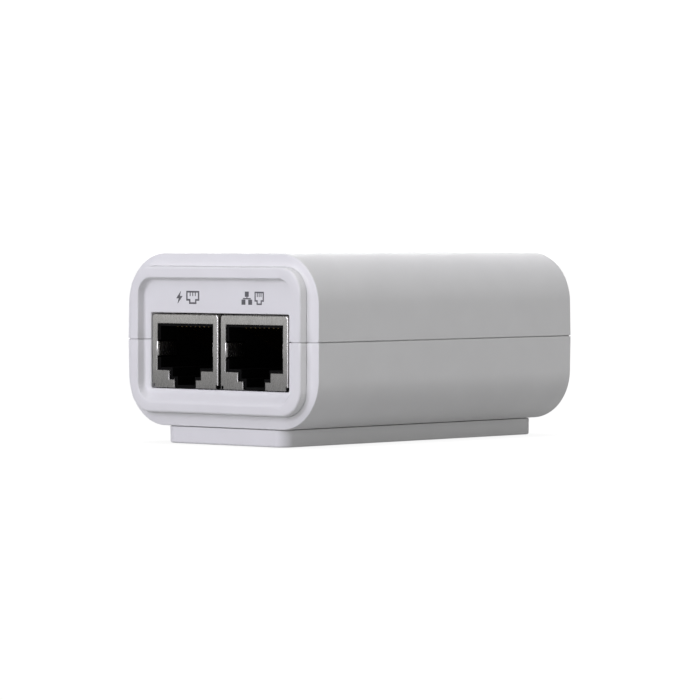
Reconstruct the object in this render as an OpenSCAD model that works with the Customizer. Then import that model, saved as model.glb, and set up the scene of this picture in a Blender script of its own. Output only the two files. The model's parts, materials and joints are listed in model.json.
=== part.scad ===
// Two-port power injector: a split plastic casing on a slide-on wall bracket,
// with two shielded modular jacks at the front and a mains inlet at the rear.
// Millimetres. The origin is under the centre of the bracket, on the wall face.
// +X is to the right of the jacks, -Y is the jack end, +Z is up.

/* [Casing] */
// Width of the casing across the jacks
body_w = 43; // [42.6:0.1:44]
// Length between the two flat end rims
body_l = 64.4; // [64.4:0.2:70]
// Height of the casing without the bracket
body_h = 28.5; // [28.3:0.1:30]
// Radius of the four long edges
corner_r = 8.2; // [7.8:0.1:8.6]
// Wall thickness of both shells
wall = 2; // [1.8:0.1:2]
// How far the ring around each end stands proud
ring_proud = 2; // [1.6:0.1:2.2]
// Height of the shadow groove at the parting line
groove_h = 0.3; // [0.2:0.05:0.4]

/* [Bracket] */
// Width of the wall bracket
bracket_w = 27; // [24:0.5:28]
// Thickness of the bracket's plate and of the joint above it
bracket_t = 2.9; // [2.8:0.1:3.2]
// Setback of the bracket from the front rim
bracket_front = 0.5; // [0.3:0.1:4]
// Setback of the bracket from the rear rim
bracket_rear = 0.1; // [0.1:0.05:3]
// Distance between the two wall screws
screw_spacing = 40; // [36:1:42]
// Radius of the two wall screw holes
screw_hole_r = 2; // [1.8:0.1:2.2]

/* [Jacks] */
// Width of one jack over its shield
jack_w = 15.1; // [15:0.05:15.2]
// Height of one jack over its shield
jack_h = 12.2; // [12:0.05:12.3]
// Depth of one jack
jack_d = 16.5; // [16:0.1:16.5]
// Distance between the two jacks' centres
jack_pitch = 15.6; // [15.5:0.05:15.7]
// Width of the insulator's plug opening
plug_w = 11.8; // [11.7:0.05:12]

/* [Mains inlet] */
// Distance between the live and neutral pins
pin_gap = 10; // [9.8:0.1:10.2]
// Radius of each lobe of the inlet's cavity
lobe_r = 3.7; // [3.5:0.1:3.8]
// Radius of each inlet pin
pin_r = 1.2; // [1:0.1:1.3]

/* [Circuit board] */
// Width of the circuit board
board_w = 35.6; // [35:0.1:35.6]
// Length of the circuit board
board_l = 60.4; // [60:0.1:60.6]
// Thickness of the circuit board
board_t = 1.6; // [1.5:0.1:1.6]

/* [Hidden] */

$fn = 48;
eps = 0.01;

// Levels above the wall face
base_z = bracket_t;
part_z = base_z + body_h / 2;
top_z = base_z + body_h;
floor_z = base_z + wall;
ceiling_z = top_z - wall;
board_z = base_z + 4.4;
board_top = board_z + board_t;
lead_end = board_z - 1;

// Ends of the casing
rim_y = body_l / 2;
panel_t = 1.7;
panel_proud = 0.6;
inner_y = rim_y - panel_t;
ring_y = rim_y + ring_proud;
ring_out = [38.6, 24.1, 4.3];
ring_in = [34.6, 20.15, 2.9];
ring_out_z = base_z + 14.3;
ring_in_z = base_z + 14.575;

// Joints between the shells
groove_d = 0.3;
tongue_t = 0.9;
tongue_h = 1.2;
tongue_gap = 0.15;

// Dovetail channel under the lower shell and the bracket's rail
channel_front = -24.3;
channel_d = 1.5;
channel_half = 8;
channel_slope = 2 / 3;
channel_floor_w = 20.4;
rail_gap = 0.25;
bracket_gap = 0.1;

// Case screws, on the centre line
case_screw_y = [-12.3, 13];
head_r = 2.2;
head_h = 1.4;
shank_r = 1.15;
pilot_r = 1.2;

// Jacks
shield_t = 0.3;
jack_x = jack_pitch / 2;
jack_front = -rim_y - 0.55;
jack_z = base_z + 6.3;
jack_back = jack_front + jack_d;
key_w = 6.3;
slot_w = 3.96;
plug_top = jack_z + 10.2;
plug_low = plug_top - 6.86;
key_low = plug_top - 8.36;
slot_low = jack_z + 0.45;
rim_gap = 0.45;
cavity_back = jack_front + 13.4;
wire_t = 0.3;
wire_pitch = 1.02;
bend_y = jack_front + 2.45;
bend_z = plug_top + 0.25;
bend_r = 0.6;
arm_slope = 27;
arm_len = 9.4;
wire_z = plug_top + 0.55;
wire_back = jack_back - 1.55;
wires_w = 7 * wire_pitch + wire_t;

// Mains inlet
inlet_w = 20;
inlet_h = 16;
inlet_back = 18.5;
inlet_face = rim_y + 0.7;
inlet_z = board_top + 0.2;
pin_low = inlet_z + 5.6;
pin_high = inlet_z + 11.1;
inlet_leg_y = 17.4;

// Power light
led_x = -13.1;
led_z = base_z + 18.6;
led_r = 1.5;

// Places of the board's components
fuse_at = [-16.1, 21.8];
thermistor_at = [-15.8, 10.4];
x_cap_at = [13.7, 23.8];
emi_choke_at = [9.6, 10.9];
bridge_at = [-6.4, 0.8];
bulk_at = [-8.4, 10.2];
switch_at = [-13.4, -3];
switch_hole_z = board_top + 15.1;
transformer_at = [6.5, -2.5];
transformer_z = board_top + 6.7;
y_cap_at = [16.25, -2];
opto_at = [-6.4, -6.2];
diode_at = [13.7, -12.4];
output_cap_at = [[-13.6, -12.4], [-6.7, -12.4]];
output_choke_at = [6.6, -12.4];
chip_at = [13.2, 2.2];
lead_r = 0.3;
lead_hole_r = 0.42;

// Lead positions, shared by the components and the board's holes
fuse_leads = [for (s = [-1, 1]) fuse_at + [0, s * 4.6]];
thermistor_leads = [for (s = [-1, 1]) thermistor_at + [0, s * 2.5]];
x_cap_leads = [for (s = [-1, 1]) x_cap_at + [0, s * 5]];
emi_choke_leads = [for (a = [-1, 1], b = [-1, 1]) emi_choke_at + [a * 2.2, b * 4.3]];
bridge_leads = [for (a = [-1, 1], b = [-1, 1]) bridge_at + [a * 3.8, b * 2.54]];
bulk_leads = [for (s = [-1, 1]) bulk_at + [s * 2.5, 0]];
switch_leads = [for (s = [-1, 0, 1]) switch_at + [0, s * 2.54]];
transformer_leads = [for (a = [-1, 0, 1], b = [-1, 1]) transformer_at + [a * 3.6, b * 4.4]];
y_cap_leads = [for (s = [-1, 1]) y_cap_at + [0, s * 2.5]];
opto_leads = [for (a = [-1, 1], b = [-1, 1]) opto_at + [a * 3.8, b * 1.27]];
diode_leads = [for (s = [-1, 1]) diode_at + [s * 3.4, 0]];
output_cap_leads = [for (p = output_cap_at, s = [-1, 1]) p + [s * 1.25, 0]];
output_choke_leads = [for (s = [-1, 1]) output_choke_at + [s * 1.6, 0]];
led_leads = [for (s = [-1, 1]) [led_x + s * 1.27, 24.9]];
board_leads = concat(
    fuse_leads, thermistor_leads, x_cap_leads, emi_choke_leads, bridge_leads,
    bulk_leads, switch_leads, transformer_leads, y_cap_leads, opto_leads,
    diode_leads, output_cap_leads, output_choke_leads, led_leads
);

// A rectangle with round corners, centred
module rounded(w, h, r) {
    for (x = [-1, 1], y = [-1, 1])
        translate([x * (w / 2 - r), y * (h / 2 - r)]) circle(r);
    square([w - 2 * r, h], center = true);
    square([w, h - 2 * r], center = true);
}

// Carries a profile drawn in X and Z along Y
module along_y(y0, y1) {
    translate([0, y1, 0]) rotate([90, 0, 0]) linear_extrude(y1 - y0) children();
}

// Carries a profile drawn in Y and Z along X
module along_x(x0, x1) {
    translate([x0, 0, 0]) rotate([90, 0, 90]) linear_extrude(x1 - x0) children();
}

// A box from its low corner to its high corner
module block(low, high) {
    translate(low) cube(high - low);
}

// A round lead from under the board up to a level
module leads(points, top) {
    for (p = points)
        translate([p[0], p[1], lead_end]) cylinder(h = top - lead_end, r = lead_r, $fn = 16);
}

module casing_outside() {
    along_y(-rim_y, rim_y) translate([0, part_z]) rounded(body_w, body_h, corner_r);
    for (s = [0, 1])
        mirror([0, s, 0]) {
            along_y(-ring_y, -rim_y + eps) end_ring();
            // The end panel inside the ring stands a little proud of the rim
            along_y(-rim_y - panel_proud, -rim_y + eps)
                translate([0, ring_in_z]) rounded(ring_in[0] + eps, ring_in[1] + eps, ring_in[2]);
        }
}

module end_ring() {
    difference() {
        translate([0, ring_out_z]) rounded(ring_out[0], ring_out[1], ring_out[2]);
        translate([0, ring_in_z]) rounded(ring_in[0], ring_in[1], ring_in[2]);
    }
}

module casing_inside() {
    along_y(-inner_y, inner_y)
        translate([0, part_z]) rounded(body_w - 2 * wall, body_h - 2 * wall, corner_r - wall);
}

// Openings in the two end panels: jacks, inlet and power light
module panel_openings() {
    opening = jack_pitch / 2 + jack_w / 2 + 0.2;
    block([-opening, -rim_y - 1, jack_z - 0.15], [opening, -inner_y + eps, jack_z + jack_h + 0.22]);
    block(
        [-inlet_w / 2 - 0.2, inner_y - eps, inlet_z - 0.2],
        [inlet_w / 2 + 0.2, rim_y + 1, inlet_z + inlet_h + 0.2]
    );
    along_y(inner_y - eps, rim_y + 1) translate([led_x, led_z]) circle(led_r + 0.1);
}

module parting_groove() {
    difference() {
        block([-body_w, -body_l, part_z - groove_h / 2], [body_w, body_l, part_z + groove_h / 2]);
        block(
            [-body_w / 2 + groove_d, -rim_y + groove_d, part_z - 1],
            [body_w / 2 - groove_d, rim_y - groove_d, part_z + 1]
        );
    }
}

// Tongue along both long walls, grown by a gap on its inner faces and top
module tongues(gap) {
    inner_x = body_w / 2 - wall;
    for (s = [0, 1])
        mirror([s, 0, 0])
            block(
                [inner_x - eps, -28, part_z - 1],
                [inner_x + tongue_t + gap, 28, part_z + tongue_h + gap]
            );
}

module upper_shell() {
    color("whitesmoke")
    difference() {
        union() {
            difference() {
                casing_outside();
                casing_inside();
            }
            // Screw bosses that clamp the board
            for (y = case_screw_y)
                translate([0, y, board_top + 0.05])
                    cylinder(h = ceiling_z - board_top + 0.5, r = 2.5);
            // Ribs that hold the jacks down
            for (x = [-jack_x, jack_x])
                block([x - 5, -24.6, jack_z + jack_h + 0.15], [x + 5, -23.4, ceiling_z + eps]);
            // Rib that holds the inlet down
            block([-6, 22, inlet_z + inlet_h + 0.15], [6, 23.2, ceiling_z + eps]);
        }
        block([-body_w, -body_l, -10], [body_w, body_l, board_top + 0.05]);
        difference() {
            block([-body_w, -body_l, -10], [body_w, body_l, part_z]);
            for (y = case_screw_y)
                translate([0, y, 0]) cylinder(h = part_z + 1, r = 2.5);
        }
        for (y = case_screw_y)
            translate([0, y, board_top - 1]) cylinder(h = 9, r = pilot_r, $fn = 32);
        panel_openings();
        parting_groove();
        tongues(tongue_gap);
    }
}

// Dovetail profile in X and Z, narrower by a gap on each flank
module dovetail(low, high, gap) {
    half_low = channel_half + (low - base_z) * channel_slope - gap;
    half_high = channel_half + (high - base_z) * channel_slope - gap;
    polygon([[-half_low, low], [half_low, low], [half_high, high], [-half_high, high]]);
}

module lower_shell() {
    color("whitesmoke")
    difference() {
        union() {
            difference() {
                casing_outside();
                casing_inside();
                block([-body_w, -body_l, part_z], [body_w, body_l, top_z + 1]);
            }
            // Thicker floor over the dovetail channel
            block(
                [-channel_floor_w / 2, channel_front - 1.2, floor_z - eps],
                [channel_floor_w / 2, inner_y + eps, floor_z + 0.7]
            );
            // Bosses that the board rests on around the case screws
            for (y = case_screw_y)
                translate([0, y, floor_z]) cylinder(h = board_z - floor_z, r = 3.5);
            // Ledges under the board's long edges
            intersection() {
                casing_outside();
                for (s = [0, 1], y = [-27, -3, 21])
                    mirror([s, 0, 0]) block([16.9, y, floor_z - 1], [19, y + 6, board_z]);
            }
            tongues(0);
        }
        along_y(channel_front, rim_y + 1) dovetail(base_z - 1, base_z + channel_d, 0);
        for (y = case_screw_y) {
            translate([0, y, base_z]) cylinder(h = channel_d + 1.6, r = head_r + 0.2);
            translate([0, y, base_z]) cylinder(h = 6, r = 1.4, $fn = 32);
        }
        panel_openings();
        difference() {
            parting_groove();
            tongues(0);
        }
    }
}

module mount_bracket() {
    y0 = -rim_y + bracket_front;
    y1 = rim_y - bracket_rear;
    mid_y = (y0 + y1) / 2;
    plate_t = bracket_t - bracket_gap;
    color("gainsboro")
    difference() {
        union() {
            translate([0, mid_y, 0]) linear_extrude(plate_t) rounded(bracket_w, y1 - y0, 2.3);
            along_y(channel_front + 0.3, y1)
                dovetail(plate_t - eps, base_z + channel_d - 0.2, rail_gap);
        }
        // Cored underside between the ribs
        for (sx = [-1, 1], sy = [-1, 0, 1])
            translate([sx * 6.6, mid_y + sy * 18.6, -eps])
                linear_extrude(1.3) rounded(9.6, 16.6, 1.2);
        for (s = [-1, 1])
            translate([0, mid_y + s * screw_spacing / 2, 0]) {
                translate([0, 0, -1]) cylinder(h = 8, r = screw_hole_r);
                translate([0, 0, base_z + channel_d - 0.2 - 2])
                    cylinder(h = 2 + eps, r1 = screw_hole_r, r2 = screw_hole_r + 2);
            }
    }
}

module case_screws() {
    color("silver")
    for (y = case_screw_y)
        translate([0, y, base_z + channel_d + 0.15])
            difference() {
                union() {
                    cylinder(h = head_h, r = head_r);
                    cylinder(h = head_h + 10.4, r = shank_r, $fn = 32);
                }
                for (a = [0, 90])
                    rotate(a) translate([-1.3, -0.25, -eps]) cube([2.6, 0.5, 0.8]);
            }
}

// The stepped outline of a modular plug opening, grown by a margin
module plug_outline(margin, slot_bottom) {
    translate([-plug_w / 2 - margin, plug_low - margin])
        square([plug_w + 2 * margin, plug_top - plug_low + 2 * margin]);
    translate([-key_w / 2 - margin, key_low - margin])
        square([key_w + 2 * margin, plug_top - key_low]);
    translate([-slot_w / 2 - margin, slot_bottom])
        square([slot_w + 2 * margin, plug_top - slot_bottom]);
}

module jack_shield() {
    half = jack_w / 2;
    top = jack_z + jack_h;
    difference() {
        union() {
            difference() {
                block([-half, jack_front, jack_z], [half, jack_back, top]);
                block(
                    [-half + shield_t, jack_front + shield_t, jack_z - 1],
                    [half - shield_t, jack_back - shield_t, top - shield_t]
                );
            }
            // Board legs
            for (s = [0, 1])
                mirror([s, 0, 0])
                    block([half - shield_t, jack_front + 7.4, lead_end], [half, jack_front + 8.8, jack_z + 1]);
        }
        along_y(jack_front - 1, jack_front + shield_t + eps) plug_outline(rim_gap, jack_z - 1);
        // Bottom corner notches of the front face
        for (s = [0, 1])
            mirror([s, 0, 0])
                block(
                    [half - 1, jack_front - 1, jack_z - 1],
                    [half + 1, jack_front + 0.8, jack_z + 0.6]
                );
    }
    // Grounding leaf springs beside the plug opening
    for (s = [0, 1])
        mirror([s, 0, 0])
            translate([0, jack_front, jack_z + 5.2])
                linear_extrude(2.5)
                    polygon([
                        [6.45, 0], [5.85, 0.8], [5.45, 3.4], [5.7, 4.15],
                        [5.9, 4.15], [5.65, 3.4], [6.05, 0.8], [6.7, 0]
                    ]);
}

module jack_housing() {
    half = jack_w / 2 - shield_t - 0.1;
    top = jack_z + jack_h - shield_t - 0.1;
    front = jack_front + shield_t + 0.05;
    difference() {
        union() {
            block([-half, front, jack_z], [half, jack_back - shield_t - 0.1, top]);
            for (s = [-1, 1])
                translate([s * 5.1, jack_front + 10, lead_end])
                    cylinder(h = jack_z - lead_end + 1, r = 1.5);
        }
        along_y(front - 1, cavity_back) plug_outline(0, slot_low);
        // Reliefs for the grounding leaf springs
        for (s = [0, 1])
            mirror([s, 0, 0])
                block(
                    [plug_w / 2 - 1, front - 1, jack_z + 5],
                    [plug_w / 2 + 0.9, jack_front + 4.6, jack_z + 7.9]
                );
        // Pocket for the wires' front bends, and slots for their fixed runs
        block(
            [-wires_w / 2 - 0.3, jack_front + 1.4, plug_low],
            [wires_w / 2 + 0.3, jack_front + 4, wire_z + wire_t + 0.15]
        );
        block(
            [-wires_w / 2 - 0.2, jack_front + 2, wire_z - 0.15],
            [wires_w / 2 + 0.2, wire_back + wire_t + 0.15, wire_z + wire_t + 0.15]
        );
        block(
            [-wires_w / 2 - 0.2, wire_back - 0.15, jack_z - 1],
            [wires_w / 2 + 0.2, wire_back + wire_t + 0.15, wire_z + wire_t + 0.15]
        );
    }
}

// Eight copies side by side at the contact pitch
module eight_wires() {
    for (i = [0 : 7])
        translate([(i - 3.5) * wire_pitch, 0, 0]) children();
}

// The fixed part of each contact: along the top, then down through the board
module contact_roots() {
    eight_wires() {
        block(
            [-wire_t / 2, bend_y + 0.7, wire_z],
            [wire_t / 2, wire_back + wire_t, wire_z + wire_t]
        );
        block([-wire_t / 2, wire_back, lead_end], [wire_t / 2, wire_back + wire_t, wire_z + wire_t]);
    }
}

// The springy part of each contact: a bend at the front and a sloping arm
module contact_arms() {
    eight_wires()
        along_x(-wire_t / 2, wire_t / 2)
            translate([bend_y, bend_z]) rotate(-arm_slope) {
                intersection() {
                    difference() {
                        circle(bend_r);
                        circle(bend_r - wire_t);
                    }
                    translate([-1, -1]) square([1 + eps, 2]);
                }
                translate([0, -bend_r]) square([arm_len, wire_t]);
            }
}

module poe_jack_shield() { color("silver") translate([-jack_x, 0, 0]) jack_shield(); }
module lan_jack_shield() { color("silver") translate([jack_x, 0, 0]) jack_shield(); }
module poe_jack_housing() { color("black") translate([-jack_x, 0, 0]) jack_housing(); }
module lan_jack_housing() { color("black") translate([jack_x, 0, 0]) jack_housing(); }
module poe_contact_roots() { color("gold") translate([-jack_x, 0, 0]) contact_roots(); }
module lan_contact_roots() { color("gold") translate([jack_x, 0, 0]) contact_roots(); }
module poe_contact_arms() { color("gold") translate([-jack_x, 0, 0]) contact_arms(); }
module lan_contact_arms() { color("gold") translate([jack_x, 0, 0]) contact_arms(); }

// Three round lobes joined by straight webs
module inlet_cavity() {
    for (p = [[-pin_gap / 2, pin_low], [pin_gap / 2, pin_low], [0, pin_high]])
        translate(p) circle(lobe_r);
    translate([-pin_gap / 2, pin_low - 2.7]) square([pin_gap, 5]);
    translate([-2.6, pin_low]) square([5.2, pin_high - pin_low]);
}

module mains_inlet() {
    color("black")
    difference() {
        union() {
            block([-inlet_w / 2, inlet_back, inlet_z], [inlet_w / 2, inlet_face, inlet_z + inlet_h]);
            block(
                [-inlet_w / 2 - 0.8, inner_y - 1.7, inlet_z],
                [inlet_w / 2 + 0.8, inner_y - 0.2, inlet_z + inlet_h + 0.8]
            );
        }
        along_y(inlet_back + 2, inlet_face + 1) inlet_cavity();
        for (p = [[-pin_gap / 2, pin_low], [pin_gap / 2, pin_low], [0, pin_high]])
            along_y(inlet_back - 1, inlet_back + 3) translate(p) circle(pin_r);
    }
}

module inlet_pins() {
    color("silver")
    for (p = [[-pin_gap / 2, pin_low], [pin_gap / 2, pin_low], [0, pin_high]]) {
        along_y(inlet_leg_y - 0.3, inlet_face - 2.6) translate(p) circle(pin_r);
        translate([p[0], inlet_face - 2.6, p[1]]) sphere(pin_r);
        block(
            [p[0] - 0.6, inlet_leg_y - 0.3, lead_end],
            [p[0] + 0.6, inlet_leg_y + 0.3, p[1]]
        );
    }
}

module light_pipe() {
    color("lightcyan")
    translate([led_x, 0, led_z]) {
        rotate([-90, 0, 0]) translate([0, 0, inner_y - 1.4]) cylinder(h = panel_t + 2.3, r = led_r);
        rotate([-90, 0, 0]) translate([0, 0, inner_y - 1.4]) cylinder(h = 1.2, r = led_r + 0.6);
    }
}

module power_led() {
    y1 = inner_y - 1.7;
    color("palegreen") {
        translate([led_x, y1 - led_r, led_z]) {
            rotate([90, 0, 0]) cylinder(h = 2.4, r = led_r);
            sphere(led_r);
        }
        for (p = led_leads) {
            translate([p[0], p[1], lead_end]) cylinder(h = led_z - lead_end, r = 0.25, $fn = 16);
            translate([p[0], p[1], led_z]) sphere(0.25, $fn = 16);
            along_y(p[1], y1 - led_r - 2) translate([p[0], led_z]) circle(0.25, $fn = 16);
        }
    }
}

module main_board() {
    color("darkgreen")
    difference() {
        block([-board_w / 2, -board_l / 2, board_z], [board_w / 2, board_l / 2, board_top]);
        for (y = case_screw_y)
            translate([0, y, 0]) cylinder(h = 20, r = 1.5, $fn = 32);
        for (p = board_leads)
            translate([p[0], p[1], 0]) cylinder(h = 20, r = lead_hole_r, $fn = 16);
        for (s = [-1, 1]) {
            for (peg = [-5.1, 5.1])
                translate([s * jack_x + peg, jack_front + 10, 0]) cylinder(h = 20, r = 1.6, $fn = 32);
            // Slot under each row of contact wires
            block(
                [s * jack_x - wires_w / 2 - 0.2, wire_back - 0.15, 0],
                [s * jack_x + wires_w / 2 + 0.2, wire_back + wire_t + 0.15, 20]
            );
            // Slots for the shields' outer legs
            translate([s * (jack_x + jack_w / 2 - 0.15), jack_front + 8.1, 10])
                cube([0.8, 1.9, 20], center = true);
        }
        translate([0, jack_front + 8.1, 10]) cube([1.6, 1.9, 20], center = true);
        for (x = [-pin_gap / 2, 0, pin_gap / 2])
            translate([x, inlet_leg_y, 10]) cube([1.6, 1, 20], center = true);
    }
}

module fuse() {
    color("seagreen") {
        translate([fuse_at[0], fuse_at[1] + 3.5, board_top + 1.5])
            rotate([90, 0, 0]) cylinder(h = 7, r = 1.3);
        translate([fuse_at[0], fuse_at[1] + 4.6, board_top + 1.5])
            rotate([90, 0, 0]) cylinder(h = 9.2, r = lead_r, $fn = 16);
    }
    color("silver") leads(fuse_leads, board_top + 1.5 + lead_r);
}

// A disc standing on two leads, its faces towards +X and -X
module disc_part(at, r, t, points) {
    z = board_top + 1 + r;
    translate([at[0] - t / 2, at[1], z]) rotate([0, 90, 0]) cylinder(h = t, r = r);
    leads(points, z);
}

module inrush_thermistor() { color("darkolivegreen") disc_part(thermistor_at, 4.2, 2.8, thermistor_leads); }
module y_capacitor() { color("royalblue") disc_part(y_cap_at, 3.6, 2.2, y_cap_leads); }

module x_capacitor() {
    color("gold")
    translate([x_cap_at[0], x_cap_at[1], board_top + 0.1])
        linear_extrude(11) rounded(5, 12.4, 0.6);
    color("silver") leads(x_cap_leads, board_top + 1);
}

module emi_ring(r_out, r_in, t) {
    z = board_top + 6.6;
    difference() {
        translate([emi_choke_at[0] - t / 2, emi_choke_at[1], z])
            rotate([0, 90, 0]) cylinder(h = t, r = r_out);
        translate([emi_choke_at[0] - t, emi_choke_at[1], z])
            rotate([0, 90, 0]) cylinder(h = 2 * t, r = r_in);
    }
}

module emi_choke_core() { color("darkslategray") emi_ring(5.3, 3.2, 4.4); }

module emi_choke_windings() {
    color("peru") {
        difference() {
            emi_ring(6.2, 2.3, 6);
            emi_ring(5.35, 3.15, 4.5);
            translate([emi_choke_at[0], emi_choke_at[1], board_top + 6.6])
                cube([20, 3, 20], center = true);
        }
        leads(emi_choke_leads, board_top + 3);
    }
}

// A dual in-line package: two rows of bent leads beside its body
module inline_package(at, size, points) {
    translate([at[0] - size[0] / 2, at[1] - size[1] / 2, board_top + 0.5]) cube(size);
    for (p = points) {
        s = sign(p[0] - at[0]);
        leads([p], board_top + 2.2);
        block(
            [min(p[0], at[0] + s * (size[0] / 2 - 0.2)) - 0.1, p[1] - 0.3, board_top + 1.8],
            [max(p[0], at[0] + s * (size[0] / 2 - 0.2)) + 0.1, p[1] + 0.3, board_top + 2.2]
        );
    }
}

module bridge_rectifier() { color("dimgray") inline_package(bridge_at, [6.4, 8.4, 3.4], bridge_leads); }
module optocoupler() { color("ivory") inline_package(opto_at, [6.4, 4.6, 3.4], opto_leads); }

// A standing electrolytic can with a vent cross on top
module can_capacitor(at, r, h, points) {
    translate([at[0], at[1], board_top + 0.1])
        difference() {
            cylinder(h = h, r = r);
            for (a = [0, 90])
                rotate(a) translate([0, 0, h]) cube([r * 1.2, 0.3, 0.4], center = true);
            difference() {
                translate([0, 0, 1.6]) cylinder(h = 0.5, r = r + 1);
                translate([0, 0, 1.5]) cylinder(h = 0.7, r = r - 0.35);
            }
        }
    leads(points, board_top + 0.5);
}

module bulk_capacitor() { color("midnightblue") can_capacitor(bulk_at, 5, 16, bulk_leads); }

module output_capacitors() {
    color("darkslateblue")
    for (i = [0, 1])
        can_capacitor(output_cap_at[i], 3.15, 12, [for (s = [-1, 1]) output_cap_at[i] + [s * 1.25, 0]]);
}

module power_switch() {
    x0 = switch_at[0] - 2.2;
    y = switch_at[1];
    tab_top = switch_hole_z + 2.4;
    color("dimgray")
    difference() {
        union() {
            block([x0, y - 5, board_top + 3], [x0 + 4.4, y + 5, board_top + 12]);
            block([x0, y - 5, board_top + 3], [x0 + 1.2, y + 5, tab_top]);
        }
        translate([x0 - 1, y, switch_hole_z]) rotate([0, 90, 0]) cylinder(h = 4, r = 1.75, $fn = 32);
    }
    color("silver") leads(switch_leads, board_top + 3.2);
}

module heat_sink() {
    x1 = switch_at[0] - 2.25;
    y = switch_at[1];
    color("lightgray")
    difference() {
        block([x1 - 1.2, y - 5.4, board_top + 0.3], [x1, y + 5.4, switch_hole_z + 2.6]);
        translate([x1 - 3, y, switch_hole_z]) rotate([0, 90, 0]) cylinder(h = 6, r = 1.7, $fn = 32);
    }
}

module heat_sink_screw() {
    x1 = switch_at[0] - 3.5;
    color("silver")
    translate([x1, switch_at[1], switch_hole_z]) rotate([0, 90, 0]) {
        cylinder(h = 5.2, r = 1.4, $fn = 32);
        translate([0, 0, -1.2]) cylinder(h = 1.2, r = 2.4);
    }
}

module heat_sink_nut() {
    color("silver")
    translate([switch_at[0] - 0.95, switch_at[1], switch_hole_z]) rotate([0, 90, 0])
        difference() {
            cylinder(h = 1.8, r = 2.6, $fn = 6);
            translate([0, 0, -1]) cylinder(h = 4, r = 1.45, $fn = 32);
        }
}

module controller_chip() {
    color("dimgray")
    translate([chip_at[0], chip_at[1], board_z - 0.8]) cube([4.9, 3.9, 1.4], center = true);
    color("silver")
    for (s = [-1, 1], i = [-1.5 : 1.5])
        translate([chip_at[0] + i * 1.27, chip_at[1] + s * 2.3, board_z - 0.2])
            cube([0.4, 1.1, 0.2], center = true);
}

module transformer_core() {
    color("darkslategray")
    translate([transformer_at[0], transformer_at[1], transformer_z])
        difference() {
            cube([16, 13, 4.4], center = true);
            for (s = [-1, 1])
                translate([s * 4.1, 0, 0]) cube([3.8, 9.6, 6], center = true);
        }
}

module transformer_bobbin() {
    color("black")
    translate([transformer_at[0], transformer_at[1], transformer_z]) {
        difference() {
            union() {
                cube([5.6, 9.4, 5.6], center = true);
                for (s = [-1, 1])
                    translate([0, s * 4.3, 0]) cube([11.2, 0.8, 11.2], center = true);
                for (s = [-1, 1])
                    translate([0, s * 4.4, -6.05]) cube([11.2, 2, 1], center = true);
            }
            cube([4.5, 20, 4.6], center = true);
        }
    }
    color("silver") leads(transformer_leads, board_top + 0.8);
}

module transformer_winding() {
    color("khaki")
    translate([transformer_at[0], transformer_at[1], transformer_z])
        difference() {
            rotate([90, 0, 0]) linear_extrude(7.6, center = true) rounded(10.8, 10.8, 2);
            cube([5.7, 20, 5.7], center = true);
        }
}

module output_diode() {
    z = board_top + 1.8;
    color("black")
    translate([diode_at[0] - 2.4, diode_at[1], z]) rotate([0, 90, 0]) cylinder(h = 4.8, r = 1.6);
    color("silver") {
        translate([diode_at[0] - 3.4, diode_at[1], z])
            rotate([0, 90, 0]) cylinder(h = 6.8, r = lead_r * 1.3, $fn = 16);
        leads(diode_leads, z);
    }
}

module output_choke_core() {
    color("darkslategray")
    translate([output_choke_at[0], output_choke_at[1], board_top + 0.2]) {
        cylinder(h = 8, r = 1.8);
        cylinder(h = 1.4, r = 3.1);
        translate([0, 0, 6.6]) cylinder(h = 1.4, r = 3.1);
    }
    color("silver") leads(output_choke_leads, board_top + 0.4);
}

module output_choke_winding() {
    color("peru")
    translate([output_choke_at[0], output_choke_at[1], board_top + 1.7])
        difference() {
            cylinder(h = 5, r = 2.8);
            translate([0, 0, -1]) cylinder(h = 7, r = 1.85);
        }
}

// Chip resistors and capacitors on the underside of the board
module surface_parts() {
    color("saddlebrown")
    for (p = concat(
        [for (x = [-8.2, -6.4, -4.6], y = [opto_at[1], bridge_at[1]]) [x, y]],
        [[12.6, -8.5], [14.8, -8.5]]
    ))
        translate([p[0], p[1], board_z - 0.35]) cube([1.25, 2, 0.6], center = true);
}

upper_shell();
lower_shell();
mount_bracket();
case_screws();
poe_jack_shield();
lan_jack_shield();
poe_jack_housing();
lan_jack_housing();
poe_contact_roots();
lan_contact_roots();
poe_contact_arms();
lan_contact_arms();
mains_inlet();
inlet_pins();
light_pipe();
power_led();
main_board();
fuse();
inrush_thermistor();
x_capacitor();
emi_choke_core();
emi_choke_windings();
bridge_rectifier();
bulk_capacitor();
power_switch();
heat_sink();
heat_sink_screw();
heat_sink_nut();
controller_chip();
transformer_core();
transformer_bobbin();
transformer_winding();
y_capacitor();
optocoupler();
output_diode();
output_capacitors();
output_choke_core();
output_choke_winding();
surface_parts();
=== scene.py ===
import json
from math import cos, pi, radians, sin, sqrt, tan

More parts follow.
